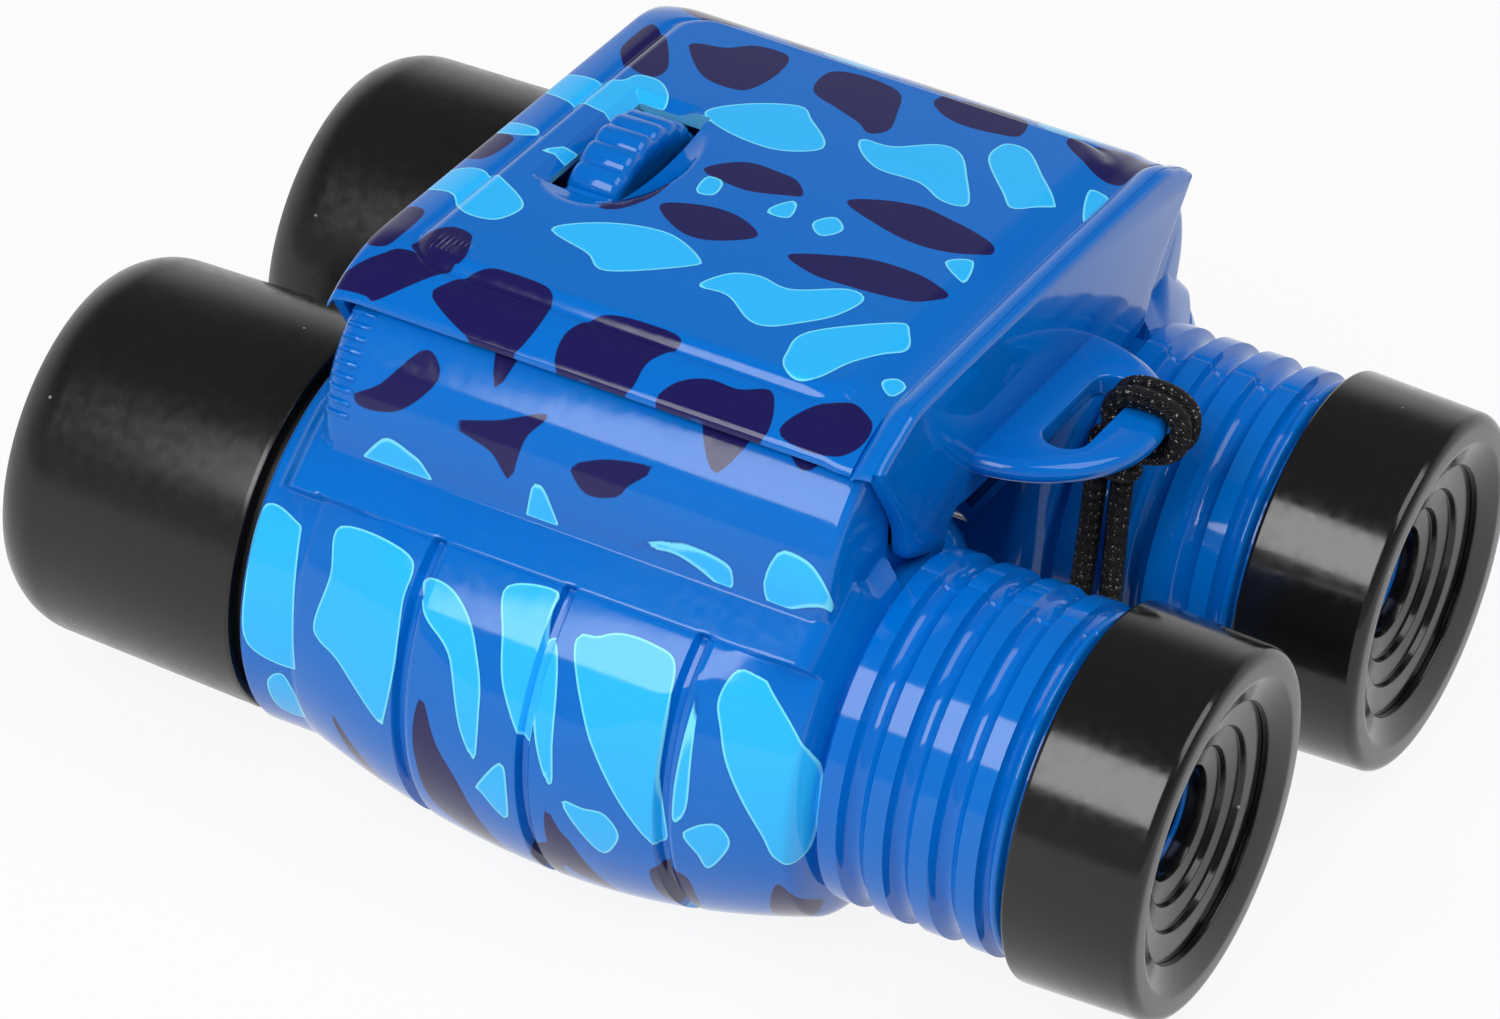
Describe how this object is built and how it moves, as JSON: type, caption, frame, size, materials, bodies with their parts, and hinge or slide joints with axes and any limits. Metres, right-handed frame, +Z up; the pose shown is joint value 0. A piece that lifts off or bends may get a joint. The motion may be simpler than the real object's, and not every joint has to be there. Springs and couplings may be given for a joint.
{
  "type": "toy binoculars",
  "caption": "Folding toy binoculars: ribbed barrels on a bridge with a centre focus wheel, sliding hoods, stepped eyecups and a knotted neck cord.",
  "frame": {"origin": "on the surface the folded binoculars lie on, below the middle of their length and midway between the barrels", "axes": "+X across to the right barrel, +Y from the eyecups to the hoods, +Z up"},
  "size_m": [0.1494, 0.1386, 0.0685],
  "materials": {
    "printed_plastic": "glossy blue moulding with a printed camouflage film",
    "blue_plastic": "glossy plain blue moulding",
    "satin_black": "satin black moulding",
    "black_plastic": "matte black moulding",
    "lens_glass": "polished clear lens",
    "steel": "plain zinc-plated steel",
    "brass": "turned brass",
    "cord": "braided black cord with pale flecks"
  },
  "bodies": {
    "bridge": {"top_cover": "printed_plastic", "bridge_frame": "blue_plastic", "bridge_base": "blue_plastic", "cover_screws": "steel", "base_screws": "steel", "spindle_bushes": "brass", "cord_loop": "cord", "cord_knot": "cord", "cord_rear_run": "cord", "cord_front_run": "cord", "cord_coil": "cord", "cord_tie": "cord"},
    "wheel": {"focus_wheel": "blue_plastic", "focus_spindle": "steel"},
    "carriage": {"focus_carriage": "black_plastic"},
    "left_barrel": {"left_outer_shell": "printed_plastic", "left_inner_shell": "printed_plastic", "left_shell_screws": "steel", "left_hinge_pins": "steel", "left_eyecup": "satin_black", "left_ocular_holder": "satin_black", "left_eye_lens": "lens_glass", "left_field_stop": "black_plastic"},
    "right_barrel": {"right_outer_shell": "printed_plastic", "right_inner_shell": "printed_plastic", "right_shell_screws": "steel", "right_hinge_pins": "steel", "right_eyecup": "satin_black", "right_ocular_holder": "satin_black", "right_eye_lens": "lens_glass", "right_field_stop": "black_plastic"},
    "left_focus": {"left_focus_tube": "black_plastic", "left_hood": "satin_black", "left_objective_lens": "lens_glass", "left_lens_ring": "black_plastic"},
    "right_focus": {"right_focus_tube": "black_plastic", "right_hood": "satin_black", "right_objective_lens": "lens_glass", "right_lens_ring": "black_plastic"}
  },
  "joints": [
    {"name": "left_barrel_fold", "type": "hinge", "parent": "bridge", "child": "left_barrel", "pos_m": [-0.028, 0, 0.04831], "axis": [0, 1, 0], "range_deg": [0, 18]},
    {"name": "right_barrel_fold", "type": "hinge", "parent": "bridge", "child": "right_barrel", "pos_m": [0.028, 0, 0.04831], "axis": [0, -1, 0], "range_deg": [0, 18]},
    {"name": "focus_wheel_turn", "type": "hinge", "parent": "bridge", "child": "wheel", "pos_m": [0, 0.0191, 0.05551], "axis": [0, 1, 0], "range_deg": [-90, 270]},
    {"name": "carriage_slide", "type": "slide", "parent": "bridge", "child": "carriage", "axis": [0, 1, 0], "range_m": [-0.001, 0.003]},
    {"name": "left_focus_slide", "type": "slide", "parent": "left_barrel", "child": "left_focus", "axis": [0, 1, 0], "range_m": [-0.001, 0.003]},
    {"name": "right_focus_slide", "type": "slide", "parent": "right_barrel", "child": "right_focus", "axis": [0, 1, 0], "range_m": [-0.001, 0.003]}
  ],
  "couplings": [
    {"joint": "left_focus_slide", "follows": "carriage_slide", "ratio": 1},
    {"joint": "right_focus_slide", "follows": "carriage_slide", "ratio": 1},
    {"joint": "focus_wheel_turn", "follows": "carriage_slide", "rad_per_m": 1570.8}
  ]
}
